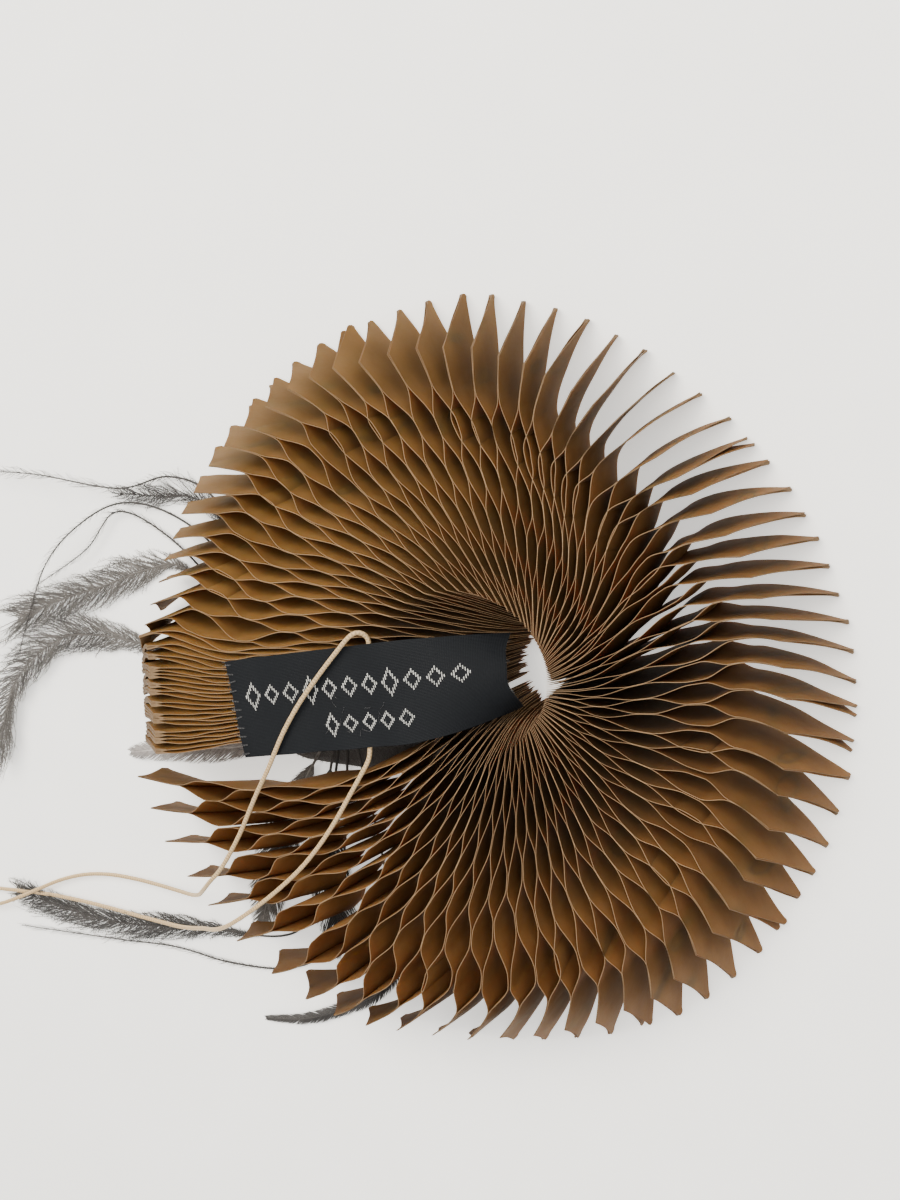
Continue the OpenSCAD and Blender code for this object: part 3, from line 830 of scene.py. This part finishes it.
for kind in ["outer"] * OUTER_FRAY + ["inner"] * INNER_FRAY + ["lint"] * LINT:
    if kind == "outer":
        start = label_point(rng.uniform(-0.05, 0.1), rng.uniform(-13, 13), rng.uniform(0.1, 0.4))
        aim = -label_dir + label_side * rng.uniform(-0.6, 0.6)
        size = rng.uniform(0.5, 1.7)
    elif kind == "inner":
        inner_u = LABEL_LENGTH - 0.1
        start = label_point(inner_u, rng.uniform(-11, 11), rng.uniform(0.1, 0.4))
        aim = label_dir + label_side * rng.uniform(-0.6, 0.6)
        size = rng.uniform(0.4, 1.3)
    else:
        start = label_point(rng.uniform(28, 52), rng.uniform(-9, 1), LABEL_T + 0.05)
        aim = label_dir * rng.uniform(-1, 1) + label_side * rng.uniform(-1, 1)
        size = rng.uniform(0.8, 2.6)
    aim = unit(aim)
    swing = left_of(aim) * rng.uniform(-0.4, 0.4)
    rise = rng.uniform(-0.1, 0.35)
    clear = 0.05 if kind == "lint" else 0
    line = [
        start + np.array([*(aim * size * t + swing * size * t * t), rise * t * size + clear])
        for t in (0, 0.35, 0.7, 1)
    ]
    fray.tube(line, [0.05, 0.05, 0.045, 0.03], 4, 1.0, 0, rng.uniform(0.9, 1.6))
stitches.build("label_end_stitches", [BLACK_THREAD], "fan", "black_thread", ["label_stitches"])
fray.build("label_stray_threads", [BLACK_THREAD], "fan", "black_thread")

# ---------------------------------------------------------------- felt pad and quill bindings
PAD_T, PAD_MIDDLE, PAD_HALF, PAD_CORNER = 0.8, np.array([-40, -12]), np.array([27, 19]), 12
# Its section, from the middle of its underside round to the top: share of its outline, height
PAD_SECTION = [(0.02, 0.0), (0.98, 0.0), (1.0, 0.25), (1.0, 0.55), (0.975, PAD_T)]
PAD_SECTION += [(share, PAD_T) for share in (0.9, 0.75, 0.5, 0.25, 0.02)]
PAD_HAIRS = 420
rng = random.Random(23)
outline = []
for q in range(4):
    quarter = np.array([1 if q in (0, 3) else -1, 1 if q < 2 else -1])
    corner = PAD_MIDDLE + quarter * (PAD_HALF - PAD_CORNER)
    for a in range(0, 91, 6):
        turn = math.radians(90 * q + a)
        outline.append(corner + PAD_CORNER * np.array([math.cos(turn), math.sin(turn)]))
outline, _ = even_line(outline + outline[:1], 1.6)
outline = outline[:-1]
pad = Shape()
pad_verts = []
for share, z in PAD_SECTION:
    for p in outline:
        wobble = 1 + (rng.uniform(-0.004, 0.004) if share > 0.9 else 0)
        top = rng.uniform(-0.05, 0.02) if z == PAD_T else 0
        pad_verts.append([*(PAD_MIDDLE + (p - PAD_MIDDLE) * share * wobble), z + top])
count = len(outline)
pad_faces = [tuple(range(count - 1, -1, -1))]
for k in range(len(PAD_SECTION) - 1):
    for j in range(count):
        m = (j + 1) % count
        pad_faces.append((k * count + j, k * count + m, (k + 1) * count + m, (k + 1) * count + j))
pad_faces.append(tuple((len(PAD_SECTION) - 1) * count + j for j in range(count)))
pad.add(pad_verts, pad_faces)
for _ in range(PAD_HAIRS):
    k = rng.randrange(count)
    out = unit(outline[k] - PAD_MIDDLE)
    start = outline[k] - out * 0.3
    aim = unit(out + left_of(out) * rng.uniform(-1.2, 1.2))
    size = rng.uniform(0.5, 1.4)
    z = rng.uniform(0.15, 0.6)
    line = [[*(start + aim * size * t), max(z + rng.uniform(-0.1, 0.1), 0.06)] for t in (0, 0.5, 1)]
    pad.tube(line, [0.06, 0.05, 0.03], 3)
pad.build("felt_pad_cloth", [FELT], "fan", "dark_felt", ["felt_pad"])

BINDING_R, BINDING_LOW, BINDING_HIGH = 4.6, 0.9, 3.1
THREAD_R = 0.24
FLAT_TURNS, CLIMBING_TURNS, STEPS_A_TURN = 9, 4, 24


def winding_points(turns, radius_at, z_at):
    """Points of a winding whose radius and height depend on the share of it that is done."""
    points = []
    for k in range(turns * STEPS_A_TURN):
        a, f = 2 * math.pi * k / STEPS_A_TURN, k / (turns * STEPS_A_TURN)
        points.append([radius_at(f) * math.cos(a), radius_at(f) * math.sin(a), z_at(f)])
    return points


def binding(name, body, node, root):
    """Thread wound outwards, up and inwards over a core that fills the inside."""
    edge = BINDING_R - THREAD_R
    bottom, top = BINDING_LOW + THREAD_R, BINDING_HIGH - THREAD_R
    line = winding_points(FLAT_TURNS, lambda f: f * edge, lambda f: bottom)
    line += winding_points(CLIMBING_TURNS, lambda f: edge, lambda f: bottom + f * (top - bottom))
    line += winding_points(FLAT_TURNS, lambda f: (1 - f) * edge, lambda f: top)
    winding = Shape()
    winding.tube(np.array(line) + np.array([*root, 0]), THREAD_R, 6)
    core = [
        (edge - 0.3, BINDING_LOW + 0.3),
        (edge - 0.1, (BINDING_LOW + BINDING_HIGH) / 2),
        (edge - 0.3, BINDING_HIGH - 0.3),
    ]
    winding.tube([[*root, z] for _, z in core], [r for r, _ in core], 32, up=(0.0, 1.0, 0.0))
    winding.build(name, [BLACK_THREAD], body, "black_thread", [node])


binding("upper_binding_thread", "upper_spray", "upper_quill_binding", (-46, -6))
binding("lower_binding_thread", "lower_spray", "lower_quill_binding", (-44, -18))


# ---------------------------------------------------------------- feathers
FIRST_LAYER_Z, LAYER_PITCH, VANE_T = 0.9, 0.6, 0.4
# Where a feather counts as clear of the fan, from the fan's axis
FAN_EDGE_RADIUS, FAN_EDGE_OVER = 104, 45
UNDER_FAN_SLACK = 0.2
# Nearest to the table of a barb and a barbule
BARB_LOWEST, BARBULE_LOWEST = 0.15, 0.12
QUILL_TAPER_R, QUILL_TIP_R = 0.36, 0.09
BARBULE_STEP = 0.55

# Style values unless a style gives its own
ORDINARY = {"quill": 1.0, "blunt": False, "loose": 0.1, "clump": 0.2, "curl": 0.3, "wave": 0.0,
            "lift": 0.0, "points": 5, "flat": 0.6, "spread": 0.25, "barbule": 0}


def vane_width(g, blunt):
    """The vane's width at the share g along it, against its widest."""
    if blunt:
        return min(1.0, 4 * g, 6 * (1 - g) + 0.35)
    return max(math.sin(math.pi * min(g, 1) ** 0.8), 0.0) ** 0.6


def add_barbules(shape, rng, at, size, aim, length, tone, loose):
    """Short hairs on both sides of a barb, whose point at a share of its length is at(share)."""
    walk = 0.35
    while walk < size * 0.95:
        base = at(walk / size)
        spread = rng.choice((-1, 1))
        out = spread * rng.uniform(0.5, 1.1) * np.array([-aim[1], aim[0], 0])
        way = unit(aim + out + np.array([0, 0, rng.uniform(-0.15, 0.4) * loose]))
        own_length = length * rng.uniform(0.5, 1.2)
        end = base + way * own_length
        end[2] = max(end[2], BARBULE_LOWEST)
        middle = (base + end) / 2 + aim * 0.1 * own_length
        line = np.array([base, middle, end])
        shape.tube(line, [0.07, 0.06, 0.03], 3, 1.0, 0, tone * rng.uniform(0.9, 1.3))
        walk += BARBULE_STEP


def add_barb(shape, rng, style, p, d, s, width, clump, outside, z0):
    """One barb from the point p of a quill that heads along d, with s to the barb's side."""
    angle = math.radians(style["angle"]) * (1 + clump + rng.uniform(-1, 1) * style["loose"])
    size = (width * rng.uniform(*style["size"]) + 0.5) / max(math.sin(angle), 0.35)
    aim = d * math.cos(angle) + s * math.sin(angle)
    curl = style["curl"] * rng.uniform(0.4, 1.4)
    wave = rng.uniform(-1, 1) * style["wave"]
    lift = rng.uniform(-0.25, 1) * style["lift"] * outside

    def point(q):
        """The share q of it: it sets off along aim, curls towards d and waves a little."""
        out = p + size * (q * aim + curl * q**2 * (d - aim * 0.5))
        out = out + size * wave * np.sin(q * 3.6) * q * (d - s) * 0.35
        out[..., 2:] = np.maximum(p[2] + lift * size * q**1.5, BARB_LOWEST)
        return out

    q = np.linspace(0, 1, style["points"])[:, None]
    line = point(q)
    if outside < 0.02:
        line[:, 2] = np.clip(line[:, 2], z0 - UNDER_FAN_SLACK, z0 + UNDER_FAN_SLACK)
    tone = 1 + rng.uniform(-1, 1) * style["spread"]
    radius = style["radius"] * rng.uniform(0.8, 1.2) * (1 - 0.75 * q[:, 0] ** 1.5)
    shape.tube(line, radius, 3, style["flat"], 0, tone, math.pi / 2)
    if style["barbule"]:
        add_barbules(shape, rng, point, size, aim, style["barbule"], tone, outside)


def feather(name, node, body, look, route, half, layer, vane_start, seed, style, rise):
    """A feather along a plan route: a tapered quill and a vane of separate barbs.

    style: barbs per millimetre and side, barb angle, length, curl and wave, barb radius,
    barbule length, and the spread of tone."""
    style = {**ORDINARY, **style}
    rng = random.Random(seed)
    plan, run = even_line(smooth_line(route, 8), 0.8)
    count = len(plan)
    t = np.arange(count) / (count - 1)
    outside = smoothstep((np.linalg.norm(plan, axis=1) - FAN_EDGE_RADIUS) / FAN_EDGE_OVER)
    z0 = FIRST_LAYER_Z + (layer - 1) * LAYER_PITCH + VANE_T / 2
    z = z0 + outside * rise * (0.75 + 0.25 * np.sin(t * 9 + seed))
    spine = np.concatenate([plan, z[:, None]], 1)
    shape = Shape()
    quill = QUILL_TAPER_R * (1 - t) ** 0.8 + QUILL_TIP_R
    shape.tube(spine, quill, 6, 0.8, 0, style["quill"])
    heading = np.gradient(spine, axis=0)
    heading /= np.linalg.norm(heading, axis=1)[:, None]
    step = 1 / style["density"]
    for side in (-1, 1):
        at = vane_start * run + rng.uniform(0, step)
        clump, clump_left = 0.0, 0
        while at < run - 0.5:
            f = at / run
            k = f * (count - 1)
            k0 = min(int(k), count - 2)
            p = spine[k0] + (spine[k0 + 1] - spine[k0]) * (k - k0)
            d = heading[k0]
            s = np.array([-d[1], d[0], 0]) * side
            # Barbs hold together in clumps
            if clump_left <= 0:
                clump = rng.uniform(-1, 1) * style["clump"]
                clump_left = rng.randint(3, 14)
            clump_left -= 1
            width = half * vane_width((f - vane_start) / (1 - vane_start), style["blunt"])
            add_barb(shape, rng, style, p, d, s, width, clump, outside[k0], z0)
            at += step * rng.uniform(0.75, 1.25)
    shape.build(name, [look], body, SLOT_OF[look.name], [node], sharp=180)


PLUME = {"density": 2.8, "angle": 40, "size": (0.8, 1.6), "radius": 0.15, "curl": 0.55, "wave": 0.5,
         "loose": 0.35, "clump": 0.35, "lift": 0.22, "barbule": 0.9, "spread": 0.4,
         "points": 6, "blunt": True}
STRAND = {"density": 1.1, "angle": 30, "size": (0.6, 2.4), "radius": 0.08, "curl": 0.4, "wave": 0.5,
          "loose": 0.5, "clump": 0.5, "lift": 0.3, "spread": 0.3, "blunt": True}
VANE = {"density": 3.0, "angle": 40, "size": (0.9, 1.04), "radius": 0.24,
        "loose": 0.03, "clump": 0.10, "flat": 0.35, "spread": 0.22, "quill": 1.6}
TUFT = {"density": 2.4, "angle": 34, "size": (0.6, 1.7), "radius": 0.10, "curl": 0.4, "wave": 0.6,
        "loose": 0.5, "clump": 0.6, "lift": 0.35, "spread": 0.35, "barbule": 0.6}
# The record's slot for each look, whose own name may have a number added by Blender
SLOT_OF = {CHARCOAL.name: "charcoal_feather", GREY.name: "grey_feather", PALE.name: "pale_feather"}
# Name, CAD node, body, look, half width, layer, where the vane starts, style, rise outside the
# fan, and route in plan
FEATHERS = [
    ("thin_upper_quill", "thin_upper_feather", "upper_spray", CHARCOAL, 0.9, 4, 0.4, STRAND, 5.0,
     [[-49, -2], [-66, 21], [-84, 42], [-99, 47], [-116, 43], [-142, 46], [-166, 46]]),
    ("tuft_barbs", "tuft_feather", "upper_spray", CHARCOAL, 3, 1, 0.5, TUFT, 3.0,
     [[-49.6, -2.6], [-72, 24], [-89, 40], [-104, 41], [-119, 41]]),
    ("long_curl_quill", "long_curl_feather", "upper_spray", CHARCOAL, 0.5, 3, 0.4, STRAND, 6.0,
     [[-50, -3], [-76, 20], [-92, 33], [-112, 39], [-128, 33], [-145, 17], [-157, -11]]),
    ("short_curl_quill", "short_curl_feather", "upper_spray", CHARCOAL, 0.5, 2, 0.4, STRAND, 5.0,
     [[-50.4, -4], [-78, 12], [-100, 29], [-118, 36], [-130, 24], [-148, 12]]),
    ("upper_ostrich_plume", "upper_plume", "upper_spray", GREY, 5, 1, 0.4, PLUME, 3.0,
     [[-50.6, -5], [-78, 10], [-97, 21], [-110, 19], [-126, 13], [-138, 9], [-158, 1]]),
    ("middle_ostrich_plume", "middle_plume", "upper_spray", GREY, 5.5, 1, 0.35, PLUME, 2.5,
     [[-50.8, -6.6], [-80, -7], [-106, -4], [-127, -2], [-144, -5], [-161, -20], [-169, -42]]),
    ("flat_grey_vane", "flat_grey_feather", "fan", PALE, 4.5, 2, 0.25, VANE, 0.5,
     [[-48, -22], [-78, -30], [-103, -34], [-118, -37]]),
    ("broad_upper_vane", "broad_upper_feather", "fan", GREY, 6.5, 2, 0.2, VANE, 0.0,
     [[-40, 6], [-47, 28], [-57, 47], [-68, 60]]),
    ("broad_left_vane", "broad_left_feather", "fan", GREY, 7.5, 3, 0.1, VANE, 0.0,
     [[-50, -26], [-60, -45], [-67, -65], [-72, -84]]),
    ("broad_lower_vane", "broad_lower_feather", "fan", CHARCOAL, 8, 4, 0.1, VANE, 0.0,
     [[-46, -26], [-49, -46], [-47, -68], [-44, -86]]),
    ("lower_ostrich_plume", "lower_plume", "lower_spray", CHARCOAL, 3.6, 1, 0.45, PLUME, 0.3,
     [[-45, -22.6], [-50, -55], [-56, -77], [-66, -86], [-94, -89], [-122, -93], [-145, -93],
      [-167, -90]]),
    ("lower_strand_quill", "lower_strand_feather", "lower_spray", CHARCOAL, 0.5, 1, 0.4, STRAND, 0.3,
     [[-42.6, -22.6], [-44, -55], [-49, -84], [-62, -95], [-84, -98], [-104, -97], [-127, -99],
      [-166, -102]]),
    ("hackle_vane", "hackle_feather", "lower_spray", CHARCOAL, 2, 1, 0.5, VANE, 0.5,
     [[-40.6, -21.6], [-32, -55], [-27, -84], [-33, -96], [-45, -104], [-58, -110], [-72, -113]]),
]
for seed, (name, node, body, look, half, layer, vane_start, style, rise, route) in enumerate(FEATHERS):
    feather(name, node, body, look, route, half, layer, vane_start, seed + 1, style, rise)

# ---------------------------------------------------------------- floor and light
floor_look = Look("pale_floor", Specular_IOR_Level=0.1, Emission_Strength=0.7,
                  Emission_Color=(1.0, 0.985, 0.95, 1))
grain = floor_look.noise(40, 3)
floor_look.finish(
    floor_look.ramp(grain, (0.3, (0.84, 0.835, 0.82)), (0.7, (0.87, 0.865, 0.85))),
    span(floor_look, grain, 0.7, 0.8),
)
floor_mesh = bpy.data.meshes.new("floor")
FLOOR_HALF, FLOOR_Z = 3.0, -0.00005
floor_mesh.from_pydata(
    [(x * FLOOR_HALF, y * FLOOR_HALF, FLOOR_Z) for x, y in ((-1, -1), (1, -1), (1, 1), (-1, 1))],
    [],
    [(0, 1, 2, 3)],
)
floor_mesh.materials.append(floor_look.mat)
floor = add_object("floor", floor_mesh)


def area_light(name, place, size, power, colour):
    data = bpy.data.lights.new(name, "AREA")
    data.shape = "DISK"
    data.size, data.energy, data.color = size, power, colour
    lamp = add_object(name, data)
    lamp.location = place
    lamp.rotation_mode = "QUATERNION"
    lamp.rotation_quaternion = Vector(place).to_track_quat("Z", "Y")


area_light("key_light", (-0.45, 0.65, 1.1), 0.9, 22, (1.0, 0.95, 0.84))
area_light("fill_light", (0.35, 0.55, 1.2), 1.4, 24, (1.0, 0.96, 0.88))
world = bpy.data.worlds.new("studio")
world.use_nodes = True
background = world.node_tree.nodes["Background"].inputs
background["Color"].default_value = (1.0, 0.99, 0.97, 1)
background["Strength"].default_value = 0.85
bpy.context.scene.world = world
